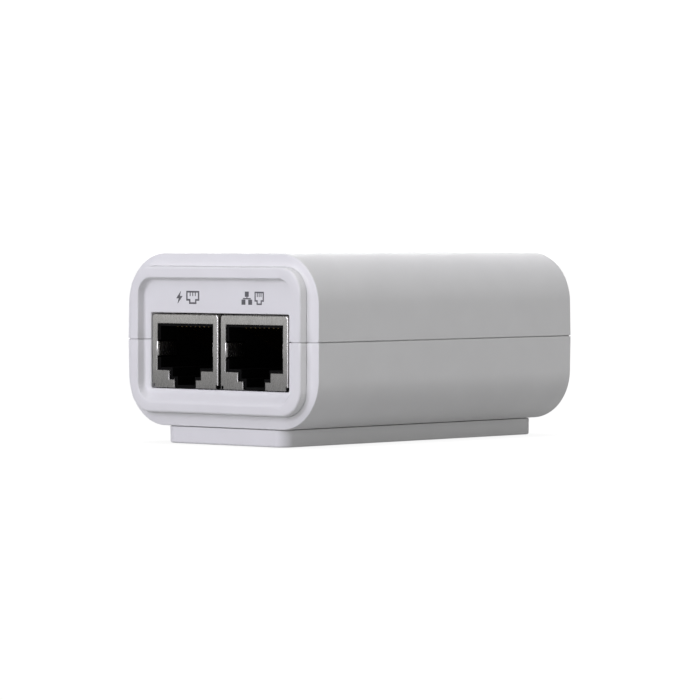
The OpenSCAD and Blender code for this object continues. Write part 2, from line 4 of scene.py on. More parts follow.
import bmesh
import bpy
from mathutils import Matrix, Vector


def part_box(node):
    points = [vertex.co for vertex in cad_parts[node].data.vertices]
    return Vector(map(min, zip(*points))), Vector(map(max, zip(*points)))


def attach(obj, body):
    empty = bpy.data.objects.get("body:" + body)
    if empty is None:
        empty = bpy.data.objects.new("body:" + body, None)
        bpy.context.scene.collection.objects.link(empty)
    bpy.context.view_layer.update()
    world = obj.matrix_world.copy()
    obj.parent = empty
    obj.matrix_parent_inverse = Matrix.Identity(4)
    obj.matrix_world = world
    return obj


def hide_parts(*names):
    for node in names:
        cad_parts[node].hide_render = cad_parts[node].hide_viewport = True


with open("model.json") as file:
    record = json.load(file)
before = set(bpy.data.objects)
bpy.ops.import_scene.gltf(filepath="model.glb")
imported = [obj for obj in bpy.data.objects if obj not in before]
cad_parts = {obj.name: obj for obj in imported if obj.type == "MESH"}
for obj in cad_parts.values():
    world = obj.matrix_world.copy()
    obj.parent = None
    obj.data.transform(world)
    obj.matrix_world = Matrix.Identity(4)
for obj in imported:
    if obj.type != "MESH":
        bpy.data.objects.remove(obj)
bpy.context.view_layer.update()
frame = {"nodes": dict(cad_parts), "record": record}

# Everything is worked out in millimetres and scaled when a piece is made.
MM = 0.001


def box_mm(*nodes):
    """Lowest and highest corner of some CAD nodes together, in millimetres."""
    boxes = [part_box(n) for n in nodes]
    low = [min(b[0][i] for b in boxes) / MM for i in range(3)]
    high = [max(b[1][i] for b in boxes) / MM for i in range(3)]
    return low, high


# Casing levels, from the frame
case_low, case_high = box_mm("upper_shell", "lower_shell")
HALF_W = case_high[0]
RING_Y = case_high[1]
BASE_Z = case_low[2]
TOP_Z = case_high[2]
PART_Z = (BASE_Z + TOP_Z) / 2
RING_PROUD = 2.0
RIM_Y = RING_Y - RING_PROUD
PANEL_Y = RIM_Y + 0.6
WALL = 2.0
INNER_Y = RIM_Y - 1.7
CORNER_R = 8.2
FLOOR_Z = BASE_Z + WALL
CEILING_Z = TOP_Z - WALL

# Outlines of the end ring: half width, top, bottom, corner radius
RING_OUT = (19.3, BASE_Z + 26.35, BASE_Z + 2.25, 4.3)
RING_IN = (17.3, BASE_Z + 24.52, BASE_Z + 4.5, 2.9)

# Jacks, from the frame
JACK_H = 12.2
shield_low, shield_high = box_mm("poe_jack_shield")
JACK_X = -(shield_low[0] + shield_high[0]) / 2
JACK_HALF = (shield_high[0] - shield_low[0]) / 2
JACK_FRONT = shield_low[1]
JACK_BACK = shield_high[1]
JACK_TOP = shield_high[2]
JACK_Z = JACK_TOP - JACK_H
LEAD_END = shield_low[2]

INLET_H = 16
# Front end of the dovetail channel under the casing
CHANNEL_FRONT = -24.3

# Parting groove: half height, rounding of its edges, depth
GROOVE = (0.09, 0.06, 0.3)
SIDE_DRAFT = radians(0.75)
END_DRAFT = radians(0.5)


# ---------------------------------------------------------------- mesh tools

def arc(cx, cz, r, start, end, steps):
    """Points on an arc, angles in degrees."""
    out = []
    for i in range(steps + 1):
        a = radians(start + (end - start) * i / steps)
        out.append((cx + r * cos(a), cz + r * sin(a)))
    return out


def spread(a, b, steps):
    """Values from a to b, both ends left out."""
    return [a + (b - a) * i / steps for i in range(1, steps)]


def new_mesh(name, verts, faces):
    mesh = bpy.data.meshes.new(name)
    mesh.from_pydata([Vector(v) for v in verts], [], faces)
    return mesh


def tidy_mesh(mesh, weld=1e-5):
    """Joins points closer than weld and turns every face outwards."""
    bm = bmesh.new()
    bm.from_mesh(mesh)
    bmesh.ops.remove_doubles(bm, verts=bm.verts, dist=weld)
    bmesh.ops.dissolve_degenerate(bm, edges=bm.edges, dist=weld)
    bmesh.ops.recalc_face_normals(bm, faces=bm.faces)
    bm.to_mesh(mesh)
    bm.free()
    return mesh


def prism(points, low, high, axis="y"):
    """A straight solid with an outline: (x, z) carried along y, (x, y) along z or (y, z) along x."""
    place = {
        "y": lambda p, s: (p[0], s, p[1]),
        "z": lambda p, s: (p[0], p[1], s),
        "x": lambda p, s: (s, p[0], p[1]),
    }[axis]
    n = len(points)
    verts = [place(p, low) for p in points] + [place(p, high) for p in points]
    faces = [tuple(range(n)), tuple(range(n, 2 * n))]
    faces += [(i, (i + 1) % n, n + (i + 1) % n, n + i) for i in range(n)]
    return tidy_mesh(new_mesh("prism", verts, faces))


def block(low, high):
    corners = [(low[0], low[1]), (high[0], low[1]), (high[0], high[1]), (low[0], high[1])]
    return prism(corners, low[2], high[2], "z")


def round_bar(centre, r, low, high, axis="z", steps=40):
    ring = arc(centre[0], centre[1], r, 0, 360 - 360 / steps, steps - 1)
    return prism(ring, low, high, axis)


def lathe(profile, centre, axis="z", steps=40):
    """A turned solid from (radius, level) pairs. The first and last radius are 0."""
    place = {
        "y": lambda r, a, s: (centre[0] + r * cos(a), s, centre[1] + r * sin(a)),
        "z": lambda r, a, s: (centre[0] + r * cos(a), centre[1] + r * sin(a), s),
    }[axis]
    verts = []
    faces = []
    for r, level in profile:
        verts += [place(r, 2 * pi * i / steps, level) for i in range(steps)]
    for k in range(len(profile) - 1):
        for i in range(steps):
            j = (i + 1) % steps
            faces.append((k * steps + i, k * steps + j, (k + 1) * steps + j, (k + 1) * steps + i))
    return tidy_mesh(new_mesh("lathe", verts, faces))


def loft(name, loops):
    """A closed solid through loops of points, each with the same number of them."""
    n = len(loops[0])
    verts = [point for loop in loops for point in loop]
    faces = [tuple(range(n)), tuple(range(len(verts) - n, len(verts)))]
    for k in range(len(loops) - 1):
        for i in range(n):
            j = (i + 1) % n
            faces.append((k * n + i, k * n + j, (k + 1) * n + j, (k + 1) * n + i))
    return tidy_mesh(new_mesh(name, verts, faces), 1e-4)


def outline_rect(w, h, r, steps=8):
    """A round-cornered rectangle about the origin, with full width w and height h."""
    out = []
    for sx, sy, start in ((1, 1, 0), (-1, 1, 90), (-1, -1, 180), (1, -1, 270)):
        out += arc(sx * (w / 2 - r), sy * (h / 2 - r), r, start, start + 90, steps)
    return out


def moved(points, dx, dy):
    return [(p[0] + dx, p[1] + dy) for p in points]


def carve(mesh, tools, operation):
    """Applies one Boolean per tool mesh and returns the new mesh."""
    body = bpy.data.objects.new("carve_body", mesh)
    bpy.context.scene.collection.objects.link(body)
    cutters = []
    for tool in tools:
        cutter = bpy.data.objects.new("carve_tool", tool)
        bpy.context.scene.collection.objects.link(cutter)
        cutters.append(cutter)
        step = body.modifiers.new("carve", "BOOLEAN")
        step.operation = operation
        step.solver = "EXACT"
        step.object = cutter
    bpy.context.view_layer.update()
    graph = bpy.context.evaluated_depsgraph_get()
    result = bpy.data.meshes.new_from_object(body.evaluated_get(graph))
    for o in [body] + cutters:
        bpy.data.objects.remove(o)
    return result


def make_piece(name, mesh, body, slot, replaces=(), sharp=32, bevel=0.0):
    """Turns a mesh in millimetres into a finished piece that rides on a body."""
    tidy_mesh(mesh, 1e-4)
    for v in mesh.vertices:
        v.co *= MM
    mesh.update()
    mesh.name = name
    obj = bpy.data.objects.new(name, mesh)
    bpy.context.scene.collection.objects.link(obj)
    finish_surface(obj, sharp, bevel)
    mesh.materials.clear()
    mesh.materials.append(material_for(slot))
    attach(obj, body)
    if replaces:
        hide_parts(*replaces)


def finish_surface(obj, sharp, bevel):
    """Smooth shading with crisp edges, and small rounded edges if bevel is more than 0."""
    for p in obj.data.polygons:
        p.use_smooth = True
    if bevel:
        edge = obj.modifiers.new("edges", "BEVEL")
        edge.width = bevel * MM
        edge.segments = 2
        edge.limit_method = "ANGLE"
        edge.angle_limit = radians(sharp)
        edge.use_clamp_overlap = True
        edge.harden_normals = False
    else:
        obj.data.set_sharp_from_angle(angle=radians(sharp))
    normals = obj.modifiers.new("normals", "WEIGHTED_NORMAL")
    normals.keep_sharp = True
    normals.weight = 90


# ---------------------------------------------------------------- materials

made = {}


def material_for(slot):
    if slot not in made:
        made[slot] = MATERIALS[slot](slot)
    return made[slot]


class Shader:
    """A Principled material with helpers for procedural detail in object space."""

    def __init__(self, name):
        self.material = bpy.data.materials.new(name)
        self.material.use_nodes = True
        tree = self.material.node_tree
        self.nodes = tree.nodes
        self.links = tree.links
        self.main = self.nodes["Principled BSDF"]
        self.place = self.nodes.new("ShaderNodeTexCoord").outputs["Object"]

    def set(self, **values):
        for key, value in values.items():
            self.main.inputs[key.replace("_", " ")].default_value = value

    def link(self, out, socket):
        self.links.new(out, self.main.inputs[socket])

    def noise(self, size_mm, detail=3, stretch=(1, 1, 1)):
        """Noise with features about size_mm across."""
        scale = self.nodes.new("ShaderNodeMapping")
        scale.inputs["Scale"].default_value = [s / (size_mm * MM) for s in stretch]
        self.links.new(self.place, scale.inputs["Vector"])
        node = self.nodes.new("ShaderNodeTexNoise")
        node.inputs["Scale"].default_value = 1
        node.inputs["Detail"].default_value = detail
        node.inputs["Roughness"].default_value = 0.55
        self.links.new(scale.outputs["Vector"], node.inputs["Vector"])
        return node.outputs["Fac"]

    def remap(self, value, low, high, start=0.3, end=0.7):
        """A value that runs from low to high while the input runs from start to end."""
        node = self.nodes.new("ShaderNodeMapRange")
        node.inputs["From Min"].default_value = start
        node.inputs["From Max"].default_value = end
        node.inputs["To Min"].default_value = low
        node.inputs["To Max"].default_value = high
        self.links.new(value, node.inputs["Value"])
        return node.outputs["Result"]

    def blend(self, value, a, b):
        """A colour between a and b."""
        node = self.nodes.new("ShaderNodeMix")
        node.data_type = "RGBA"
        node.inputs["A"].default_value = (*a, 1)
        node.inputs["B"].default_value = (*b, 1)
        self.links.new(value, node.inputs["Factor"])
        return node.outputs["Result"]

    def multiply(self, a, b):
        """Two colours multiplied."""
        node = self.nodes.new("ShaderNodeMix")
        node.data_type = "RGBA"
        node.blend_type = "MULTIPLY"
        node.inputs["Factor"].default_value = 1
        self.links.new(a, node.inputs["A"])
        self.links.new(b, node.inputs["B"])
        return node.outputs["Result"]

    def bump(self, value, height_mm):
        node = self.nodes.new("ShaderNodeBump")
        node.inputs["Distance"].default_value = height_mm * MM
        self.links.new(value, node.inputs["Height"])
        self.link(node.outputs["Normal"], "Normal")


def grained(name, colour, shade=0.05, rough=(0.4, 0.5), size=0.25, height=0.006, **fixed):
    """A surface with fine grain: a small spread of colour and roughness, and a bump."""
    s = Shader(name)
    broad = s.remap(s.noise(size * 30, 2), 0, 1)
    dark = [c * (1 - shade) for c in colour]
    s.link(s.blend(broad, dark, colour), "Base Color")
    s.link(s.remap(s.noise(size * 6, 3), rough[0], rough[1]), "Roughness")
    s.bump(s.noise(size, 3), height)
    s.set(**fixed)
    return s.material


def casing_white(name):
    return grained(
        name, (0.80, 0.80, 0.80), 0.03, (0.46, 0.56), 0.22, 0.004, IOR=1.53
    )


def bracket_white(name):
    return grained(
        name, (0.79, 0.79, 0.79), 0.03, (0.5, 0.6), 0.22, 0.004, IOR=1.53
    )


def brushed(name, colour, rough, stretch, height):
    """Metal with fine lines along one direction."""
    s = Shader(name)
    lines = s.noise(0.2, 2, stretch)
    s.link(s.blend(s.remap(s.noise(4, 3), 0, 1), [c * 0.9 for c in colour], colour), "Base Color")
    s.link(s.remap(lines, rough[0], rough[1]), "Roughness")
    s.bump(lines, height)
    s.set(Metallic=1.0)
    return s.material


def shield_nickel(name):
    """Plated sheet, with painted shade: darker towards the board and down inside the openings."""
    s = Shader(name)
    # Painted shade inside the openings, running between these two depths behind the front face
    painted_shade_from = JACK_FRONT + 0.9
    painted_shade_to = JACK_FRONT + 2.6
    split = s.nodes.new("ShaderNodeSeparateXYZ")
    s.links.new(s.place, split.inputs["Vector"])
    # Painted shade: the plating runs from darker at the bottom of the shield to lighter at its top
    height = s.remap(split.outputs["Z"], 0, 1, JACK_Z * MM, JACK_TOP * MM)
    painted_shade_tone = s.blend(height, (0.42, 0.415, 0.4), (0.8, 0.79, 0.75))
    uneven = s.blend(s.remap(s.noise(4, 3), 0, 1), (0.9, 0.9, 0.9), (1, 1, 1))
    # Painted shade: the plating darkens to a quarter of its colour down inside the openings
    depth = s.remap(split.outputs["Y"], 0, 1, painted_shade_from * MM, painted_shade_to * MM)
    inside = s.blend(depth, (1, 1, 1), (0.25, 0.25, 0.25))
    s.link(s.multiply(s.multiply(painted_shade_tone, uneven), inside), "Base Color")
    lines = s.noise(0.2, 2, (1, 1, 0.12))
    s.link(s.remap(lines, 0.24, 0.3), "Roughness")
    s.bump(lines, 0.00015)
    s.set(Metallic=1.0)
    return s.material


def contact_gold(name):
    # Darker than bare gold: painted shade, as the contacts sit deep inside the jacks
    return brushed(name, (0.34, 0.245, 0.1), (0.15, 0.24), (1, 0.1, 1), 0.0002)


def screw_steel(name):
    return brushed(name, (0.55, 0.54, 0.52), (0.28, 0.42), (1, 1, 0.3), 0.001)


def pin_nickel(name):
    return brushed(name, (0.72, 0.7, 0.65), (0.2, 0.3), (1, 0.1, 1), 0.0008)


def sink_aluminium(name):
    return brushed(name, (0.72, 0.72, 0.72), (0.35, 0.5), (1, 0.1, 1), 0.0015)


def jack_black(name):
    # Black plastic, made darker still as painted shade deep in the jacks' openings
    return grained(
        name, (0.003, 0.003, 0.003), 0.3, (0.6, 0.75), 0.2, 0.004, Specular_IOR_Level=0.08
    )


def inlet_black(name):
    return grained(name, (0.022, 0.022, 0.024), 0.25, (0.38, 0.5), 0.2, 0.004, IOR=1.5)


def package_black(name):
    return grained(name, (0.02, 0.02, 0.021), 0.3, (0.45, 0.6), 0.15, 0.004, IOR=1.5)


def bobbin_black(name):
    return grained(name, (0.025, 0.024, 0.024), 0.3, (0.35, 0.5), 0.3, 0.004, IOR=1.5)


def chip_brown(name):
    return grained(name, (0.2, 0.12, 0.07), 0.3, (0.4, 0.6), 0.3, 0.003)


def fuse_green(name):
    return grained(name, (0.12, 0.3, 0.14), 0.25, (0.3, 0.45), 0.4, 0.003)


def thermistor_olive(name):
    return grained(name, (0.16, 0.17, 0.07), 0.3, (0.35, 0.5), 0.5, 0.01)


def film_yellow(name):
    return grained(name, (0.72, 0.5, 0.06), 0.12, (0.3, 0.45), 0.4, 0.004)


def disc_blue(name):
    return grained(name, (0.05, 0.16, 0.42), 0.2, (0.3, 0.45), 0.5, 0.01)


def opto_cream(name):
    return grained(name, (0.74, 0.68, 0.52), 0.1, (0.45, 0.6), 0.2, 0.004)


def ferrite(name):
    return grained(name, (0.045, 0.046, 0.05), 0.35, (0.5, 0.75), 0.25, 0.012)


def can_blue(name):
    return grained(name, (0.03, 0.05, 0.16), 0.15, (0.22, 0.34), 0.6, 0.002, Coat_Weight=0.3)


def winding_tape(name):
    return grained(name, (0.78, 0.62, 0.1), 0.12, (0.25, 0.4), 1.2, 0.01, Coat_Weight=0.2)


def wound(name, colour, pitch_mm, metallic):
    """Turns of enamelled wire, drawn as bands across the winding."""
    bands_per_scale = 0.314
    s = Shader(name)
    bands = s.nodes.new("ShaderNodeTexWave")
    bands.bands_direction = "Z"
    bands.inputs["Scale"].default_value = bands_per_scale / (pitch_mm * MM)
    bands.inputs["Distortion"].default_value = 0.6
    bands.inputs["Detail"].default_value = 1
    s.links.new(s.place, bands.inputs["Vector"])
    turns = bands.outputs["Fac"]
    s.link(s.blend(s.remap(turns, 0, 1, 0, 1), [c * 0.5 for c in colour], colour), "Base Color")
    s.link(s.remap(s.noise(0.8), 0.25, 0.4), "Roughness")
    s.bump(turns, pitch_mm * 0.25)
    s.set(Metallic=metallic)
    return s.material


def copper_wire(name):
    return wound(name, (0.62, 0.26, 0.1), 0.5, 0.7)


def board_green(name):
    """Solder mask with faint copper areas under it."""
    s = Shader(name)
    cells = s.nodes.new("ShaderNodeTexVoronoi")
    cells.distance = "MANHATTAN"
    cells.inputs["Scale"].default_value = 1 / (4 * MM)
    s.links.new(s.place, cells.inputs["Vector"])
    areas = s.remap(cells.outputs["Distance"], 0, 1, 0.48, 0.52)
    s.link(s.blend(areas, (0.03, 0.16, 0.06), (0.02, 0.1, 0.04)), "Base Color")
    s.link(s.remap(s.noise(1.5), 0.25, 0.38), "Roughness")
    s.bump(areas, 0.03)
    return s.material


def lens_clear(name):
    s = Shader(name)
    s.link(s.blend(s.noise(2), (0.9, 0.95, 0.93), (0.98, 1, 0.99)), "Base Color")
    s.link(s.remap(s.noise(0.6), 0.05, 0.14), "Roughness")
    s.bump(s.noise(0.8), 0.002)
    s.set(Transmission_Weight=0.9, IOR=1.49)
    return s.material


def led_green(name):
    s = Shader(name)
    s.link(s.blend(s.noise(1), (0.35, 0.62, 0.38), (0.5, 0.75, 0.5)), "Base Color")
    s.link(s.remap(s.noise(0.6), 0.12, 0.22), "Roughness")
    s.bump(s.noise(0.5), 0.002)
    s.set(Transmission_Weight=0.5, IOR=1.5)
    return s.material


def print_grey(name):
    """Pad-printed ink."""
    return grained(name, (0.125, 0.125, 0.13), 0.2, (0.5, 0.65), 0.1, 0.001)


MATERIALS = {
    f.__name__: f
    for f in (
        casing_white, bracket_white, shield_nickel, contact_gold, screw_steel, pin_nickel,
        sink_aluminium, jack_black, inlet_black, package_black, bobbin_black, chip_brown,
        fuse_green, thermistor_olive, film_yellow, disc_blue, opto_cream, ferrite, can_blue,
        winding_tape, copper_wire, board_green, lens_clear, led_green, print_grey,
    )
}


# ---------------------------------------------------------------- shells

class Station:
    """One closed row of the casing: half width, depth from the middle, and its top and bottom edges."""

    def __init__(self, w, depth, top, top_r, bottom, bottom_r, outside=True, draft=False):
        self.w = w
        self.depth = depth
        self.top = (top, top_r)
        self.bottom = (bottom, bottom_r)
        self.outside = outside
        self.draft = draft


def offset_station(nominal, w, depth):
    """A row parallel to one of the ring's or the body's outlines."""
    half, top, bottom, r = nominal
    e = w - half
    return Station(w, depth, top + e, r + e, bottom - e, r + e, True, True)


def end_stations(cutout, sweep_low):
    """Rows from the inner edge of an end panel's cutout out to the casing's side.
    cutout is (half width, top, bottom, corner radius), sweep_low the panel's lower edge."""
    half, top, bottom, r = cutout
    chamfer = 0.1
    rows = [
        Station(half, INNER_Y, top, r, bottom, r, False),
        Station(half, PANEL_Y - 0.6, top, r, bottom, r, False),
        Station(half, PANEL_Y - chamfer, top, r, bottom, r),
        Station(half + chamfer, PANEL_Y, top + chamfer, r + chamfer, bottom - chamfer, r + chamfer),
    ]
    # Recess: a fillet at the panel, a wall with draft and a rounded edge. Below, an S-shaped sill.
    ring_half, ring_top, _, ring_r = RING_IN
    foot_r = 0.5
    edge_r = 0.22
    foot_w = ring_half - 0.2
    edge_w = ring_half - 0.05
    sill_drop = 2.4
    steps = 16
    for k in range(steps + 1):
        t = k / steps
        depth = PANEL_Y + (RING_Y - PANEL_Y) * (1 - cos(pi * t)) / 2
        run = min(depth - PANEL_Y, foot_r) - foot_r
        w = foot_w - foot_r + sqrt(foot_r * foot_r - run * run)
        wall = (depth - PANEL_Y - foot_r) / (RING_Y - edge_r - PANEL_Y - foot_r)
        w += (edge_w - foot_w) * min(max(wall, 0), 1)
        run = max(depth - (RING_Y - edge_r), 0)
        w += edge_r - sqrt(edge_r * edge_r - min(run, edge_r) ** 2)
        e = w - ring_half
        low_r = 1.0 + (ring_r - 0.2) * t
        rows.append(Station(w, depth, ring_top + e, ring_r + e, sweep_low - sill_drop * t, low_r))
    # Rounded outer edge of the ring
    out_half = RING_OUT[0]
    edge = 0.42
    for a in (90, 65, 40, 20, 0):
        c = radians(a)
        rows.append(offset_station(
            RING_OUT, out_half - edge + edge * cos(c), RING_Y - edge + edge * sin(c)
        ))
    # A crease at the ring's foot, then a hollow rim that flattens towards its sharp outer edge
    body = (HALF_W, TOP_Z, BASE_Z, CORNER_R)
    round_r = 0.18
    slope = radians(6)
    flat = 1.1
    hollow_r = 1.6
    groove_w = 0.14
    rim_w = HALF_W - out_half
    hollow = [(flat, flat * tan(slope))]
    for a in (12, 18, 24, 30, 35):
        c = radians(a)
        out = flat + hollow_r * (sin(c) - sin(slope))
        hollow.append((out, flat * tan(slope) + hollow_r * (cos(slope) - cos(c))))
    top_slope = tan(radians(35))
    hollow.append((
        rim_w - groove_w, hollow[-1][1] + (rim_w - groove_w - hollow[-1][0]) * top_slope
    ))
    hollow.append((rim_w, hollow[-1][1] - groove_w))
    for out, rise in reversed(hollow):
        t = 1 - out / rim_w
        blend = [a + (b - a) * t for a, b in zip(RING_OUT, body)]
        rows.append(offset_station(blend, blend[0], RIM_Y + rise))
    for a in (90, 60, 30, 0):
        c = radians(a)
        rows.append(offset_station(
            body, HALF_W - round_r + round_r * cos(c), RIM_Y - round_r + round_r * sin(c)
        ))
    rows.append(offset_station(body, HALF_W, RIM_Y - 4))
    return rows


def half_row(w, level, r, side, inset):
    """Half of a row's outline, from the left parting edge round to the right one, as (x, z, inset)."""
    half_gap, rounding, depth = GROOVE
    tip = [
        (0.004, depth),
        (half_gap, depth),
        (half_gap, rounding),
        (half_gap + 0.3 * rounding, 0.3 * rounding),
        (half_gap + rounding, 0),
    ]
    arm = [(-w, PART_Z + side * dz, d if inset else 0) for dz, d in tip]
    corner_z = level - side * r
    start_z = PART_Z + side * (half_gap + rounding)
    arm += [(-w, z, 0) for z in spread(start_z, corner_z, 3)]
    arm += [
        (x, corner_z + side * (z - corner_z), 0)
        for x, z in arc(-w + r, corner_z, r, 180, 90, 22)
    ]
    flat = [(x, level, 0) for x in spread(-w + r, w - r, 4)]
    return arm + flat + [(-x, z, d) for x, z, d in reversed(arm)]


def shell_mesh(side):
    """The upper (side 1) or lower (side -1) half of the casing as one closed solid."""
    front_hole = (JACK_X + JACK_HALF + 0.2, JACK_TOP + 0.22, JACK_Z - 0.15, 0.3)
    inlet_low, _ = box_mm("mains_inlet")
    rear_hole = (10.2, inlet_low[2] + 16.2, inlet_low[2] - 0.2, 1.2)
    panel_low = JACK_Z - 0.28
    front = end_stations(front_hole, panel_low)
    rear = end_stations(rear_hole, panel_low)
    inside = [
        Station(HALF_W - WALL, d, CEILING_Z, CORNER_R - WALL, FLOOR_Z, CORNER_R - WALL, False)
        for d in (-INNER_Y, INNER_Y)
    ]
    rows = [(s, -1) for s in front] + [(s, 1) for s in reversed(rear)]
    rows += [(inside[1], 1), (inside[0], 1)]
    path = [Vector((-s.w, s.depth * end)) for s, end in rows]
    count = len(rows)
    verts = []
    for i, (s, end) in enumerate(rows):
        along = path[(i + 1) % count] - path[i - 1]
        # The material lies to the left of the path, seen from above
        inward = Vector((-along.y, along.x)).normalized() * -1
        level, r = s.top if side > 0 else s.bottom
        y = s.depth * end
        for x, z, d in half_row(s.w, level, r, side, s.outside):
            mirror = 1 if x < 0 else -1
            px = x + inward.x * d * mirror
            py = y + inward.y * d
            if s.draft:
                height = abs(z - PART_Z)
                py -= end * tan(END_DRAFT) * height
                px *= 1 - tan(SIDE_DRAFT) * height / HALF_W
            verts.append((px, py, z))
    per_row = len(verts) // count
    faces = []
    for i in range(count):
        a = i * per_row
        b = ((i + 1) % count) * per_row
        faces += [(a + k, a + k + 1, b + k + 1, b + k) for k in range(per_row - 1)]
    faces.append(tuple(i * per_row for i in range(count)))
    faces.append(tuple((i + 1) * per_row - 1 for i in range(count)))
    return tidy_mesh(new_mesh("shell", verts, faces))


def screw_places():
    low, high = box_mm("case_screws")
    radius = 2.2
    return [low[1] + radius, high[1] - radius]


def dovetail(y0, y1, low, high, gap):
    """The channel's profile, or the rail's where gap is more than 0."""
    slope = 2 / 3
    mouth_half = 8
    low_half = mouth_half + (low - BASE_Z) * slope - gap
    high_half = mouth_half + (high - BASE_Z) * slope - gap
    outline = [(-low_half, low), (low_half, low), (high_half, high), (-high_half, high)]
    return prism(outline, y0, y1)


def upper_shell():
    board_top = box_mm("main_board")[1][2]
    inlet_top = box_mm("mains_inlet")[0][2] + INLET_H
    light_low, light_high = box_mm("light_pipe")
    light = ((light_low[0] + light_high[0]) / 2, (light_low[2] + light_high[2]) / 2)
    boss_r = 2.5
    pilot_r = 1.2
    pilot_depth = 8
    light_r = 1.6
    rib_t = 1.2
    rib_gap = 0.15
    rib_top = CEILING_Z + 0.5
    jack_rib_y = -24.6
    inlet_rib_y = 22
    solid = [round_bar((0, y), boss_r, board_top + 0.05, rib_top) for y in screw_places()]
    solid += [
        block([x - 5, jack_rib_y, JACK_TOP + rib_gap], [x + 5, jack_rib_y + rib_t, rib_top])
        for x in (-JACK_X, JACK_X)
    ]
    solid.append(
        block([-6, inlet_rib_y, inlet_top + rib_gap], [6, inlet_rib_y + rib_t, rib_top])
    )
    holes = [
        round_bar((0, y), pilot_r, board_top - 1, board_top + pilot_depth, steps=24)
        for y in screw_places()
    ]
    holes.append(round_bar(light, light_r, INNER_Y - 1, RIM_Y + 1, "y"))
    mesh = carve(shell_mesh(1), solid, "UNION")
    mesh = carve(mesh, holes, "DIFFERENCE")
    make_piece("upper_casing", mesh, "adapter", "casing_white", ["upper_shell"])


def lower_shell():
    board_low = box_mm("main_board")[0][2]
    channel_d = 1.5
    floor_half = 10.2
    boss_r = 3.5
    head_r = 2.4
    head_depth = 3.1
    shank_r = 1.4
    ledge_w = (16.9, 18.6)
    ledge_l = 6
    ledge_t = 2
    solid = [block(
        [-floor_half, CHANNEL_FRONT - 1.2, FLOOR_Z - 0.3],
        [floor_half, INNER_Y + 0.3, FLOOR_Z + 0.7],
    )]
    solid += [round_bar((0, y), boss_r, FLOOR_Z - 0.2, board_low) for y in screw_places()]
    for s in (-1, 1):
        for y in (-27, -3, 21):
            x0, x1 = sorted(s * x for x in ledge_w)
            solid.append(block([x0, y, board_low - ledge_t], [x1, y + ledge_l, board_low]))
    holes = [dovetail(CHANNEL_FRONT, RIM_Y + 1, BASE_Z - 1, BASE_Z + channel_d, 0)]
    for y in screw_places():
        holes.append(round_bar((0, y), head_r, BASE_Z, BASE_Z + head_depth))
        holes.append(round_bar((0, y), shank_r, BASE_Z, BASE_Z + 6, steps=24))
    mesh = carve(shell_mesh(-1), solid, "UNION")
    mesh = carve(mesh, holes, "DIFFERENCE")
    make_piece("lower_casing", mesh, "adapter", "casing_white", ["lower_shell"])


# ---------------------------------------------------------------- bracket

def mount_bracket():
    low, high = box_mm("mount_bracket")
    plate_t = 2.8
    corner_r = 2.3
    width = high[0] - low[0]
    length = high[1] - low[1]
    mid_y = (low[1] + high[1]) / 2
    # Rounded lower edge, sides that lean in towards it and a small edge on top
    edge = 0.3
    lean = tan(radians(1.0))
    levels = [(0.0, edge)]
    levels += [
        (edge - edge * cos(radians(a)), edge - edge * sin(radians(a))) for a in (30, 60, 90)
    ]
    levels += [(plate_t - 0.15, 0.0), (plate_t - 0.05, 0.04), (plate_t, 0.15)]
    loops = []
    for z, e in levels:
        grow = -2 * (e + lean * (plate_t - z))
        outline = outline_rect(width + grow, length + grow, corner_r + grow / 2)
        loops.append([(x, y, z) for x, y in moved(outline, 0, mid_y)])
    plate = loft("plate", loops)
    rail = dovetail(CHANNEL_FRONT + 0.3, high[1], plate_t - 0.5, high[2], 0.25)
    tools = bracket_pockets(mid_y) + bracket_screw_holes(mid_y, high[2])
    mesh = carve(plate, [rail], "UNION")
    mesh = carve(mesh, tools, "DIFFERENCE")
    make_piece("wall_bracket", mesh, "bracket", "bracket_white", ["mount_bracket"], 30, 0.12)


def bracket_pockets(mid_y):
    """The cored underside, in two rows of three."""
    pocket = outline_rect(9.6, 16.6, 1.2)
    depth = 1.3
    side_x = 6.6
    pitch_y = 18.6
    return [
        prism(moved(pocket, sx * side_x, mid_y + sy * pitch_y), -1, depth, "z")
        for sx in (-1, 1) for sy in (-1, 0, 1)
    ]


def bracket_screw_holes(mid_y, top):
    """Two countersunk holes for wall screws."""
    half_spacing = 20
    hole_r = 2
    sink = 2
    over = 0.1
    cone = [
        (0, top - sink), (hole_r, top - sink), (hole_r + sink + over, top + over), (0, top + over),
    ]
    out = []
    for s in (-1, 1):
        place = (0, mid_y + s * half_spacing)
        out.append(round_bar(place, hole_r, -1, 8))
        out.append(lathe(cone, place))
    return out


# ---------------------------------------------------------------- jacks

def arch(half, top, bottom, r):
    """The shield's outline, open at the bottom."""
    points = [(-half, bottom)]
    points += arc(-half + r, top - r, r, 180, 90, 5)
    points += arc(half - r, top - r, r, 90, 0, 5)
    points.append((half, bottom))
    return points


def leaf_strip(s):
    """A leaf spring that bulges into the plug opening, as (x, y) points on a smooth curve."""
    knots = [
        (6.42, 0.0), (6.24, 0.1), (6.12, 0.35), (6.02, 0.9), (5.86, 1.8), (5.68, 2.7),
        (5.56, 3.4), (5.75, 4.1),
    ]
    out = []
    for k in range(len(knots) - 1):
        before = knots[max(k - 1, 0)]
        a = knots[k]
        b = knots[k + 1]
        after = knots[min(k + 2, len(knots) - 1)]
        for i in range(4):
            t = i / 4
            point = []
            for c in (0, 1):
                point.append(0.5 * (
                    2 * a[c] + (b[c] - before[c]) * t
                    + (2 * before[c] - 5 * a[c] + 4 * b[c] - after[c]) * t * t
                    + (3 * a[c] - 3 * b[c] + after[c] - before[c]) * t * t * t
                ))
            out.append(point)
    out.append(knots[-1])
    return [(s * x, y) for x, y in out]


